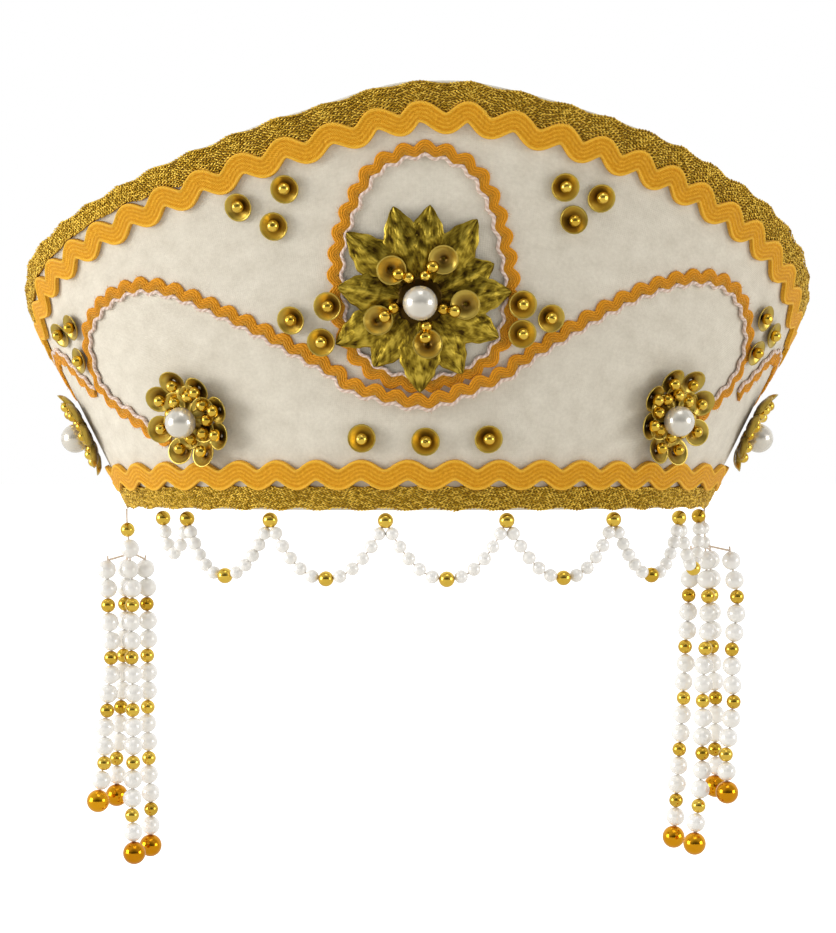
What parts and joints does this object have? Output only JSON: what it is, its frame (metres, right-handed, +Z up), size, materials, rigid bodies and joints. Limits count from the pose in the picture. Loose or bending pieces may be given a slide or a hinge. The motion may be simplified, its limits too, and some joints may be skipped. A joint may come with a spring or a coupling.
{
  "type": "kokoshnik headdress",
  "caption": "Tall flaring cloth headdress, open at the back, with orange rick-rack, gold braid, sequins, a leaf flower with a pearl, beaded swags and side tassels",
  "frame": {"origin": "middle of the head opening, level with the hem, where the headdress sits on the head", "axes": "+Z up, the front with the flower faces -Y, +X is to the right of someone who looks at the front"},
  "size_m": [0.2492, 0.1365, 0.2327],
  "materials": {
    "white_cloth": "matt, fine weave",
    "orange_braid": "matt, ribbed",
    "gold_braid": "knitted metallic thread",
    "sequin_gold": "metallised, shiny",
    "bead_gold": "metallised, mirror bright",
    "leaf_gold": "metallised, embossed",
    "pearl": "pearly"
  },
  "bodies": {
    "root": {"crown_wall": "white_cloth", "festoon": "bead_gold", "flower_leaves": "leaf_gold", "flower_pearl": "pearl", "hem_gold_braid": "gold_braid", "hem_rickrack": "orange_braid", "oval_trim": "orange_braid", "rosette_front_left": "sequin_gold", "rosette_front_right": "sequin_gold", "rosette_pearl_front_left": "pearl", "rosette_pearl_front_right": "pearl", "rosette_pearl_side_left": "pearl", "rosette_pearl_side_right": "pearl", "rosette_side_left": "sequin_gold", "rosette_side_right": "sequin_gold", "scroll_trim": "orange_braid", "side_trim_left": "orange_braid", "side_trim_right": "orange_braid", "spangle_low_1": "sequin_gold", "spangle_low_2": "sequin_gold", "spangle_low_3": "sequin_gold", "spangle_middle_left_1": "sequin_gold", "spangle_middle_left_2": "sequin_gold", "spangle_middle_left_3": "sequin_gold", "spangle_middle_right_1": "sequin_gold", "spangle_middle_right_2": "sequin_gold", "spangle_middle_right_3": "sequin_gold", "spangle_side_left_1": "sequin_gold", "spangle_side_left_2": "sequin_gold", "spangle_side_left_3": "sequin_gold", "spangle_side_right_1": "sequin_gold", "spangle_side_right_2": "sequin_gold", "spangle_side_right_3": "sequin_gold", "spangle_top_left_1": "sequin_gold", "spangle_top_left_2": "sequin_gold", "spangle_top_left_3": "sequin_gold", "spangle_top_right_1": "sequin_gold", "spangle_top_right_2": "sequin_gold", "spangle_top_right_3": "sequin_gold", "spoke_1": "sequin_gold", "spoke_2": "sequin_gold", "spoke_3": "sequin_gold", "spoke_4": "sequin_gold", "spoke_5": "sequin_gold", "tassel_left_inner": "pearl", "tassel_left_long": "pearl", "tassel_left_outer": "pearl", "tassel_left_rear": "pearl", "tassel_right_inner": "pearl", "tassel_right_long": "pearl", "tassel_right_outer": "pearl", "tassel_right_rear": "pearl", "top_gold_braid": "gold_braid", "top_rickrack": "orange_braid"}
  },
  "joints": []
}
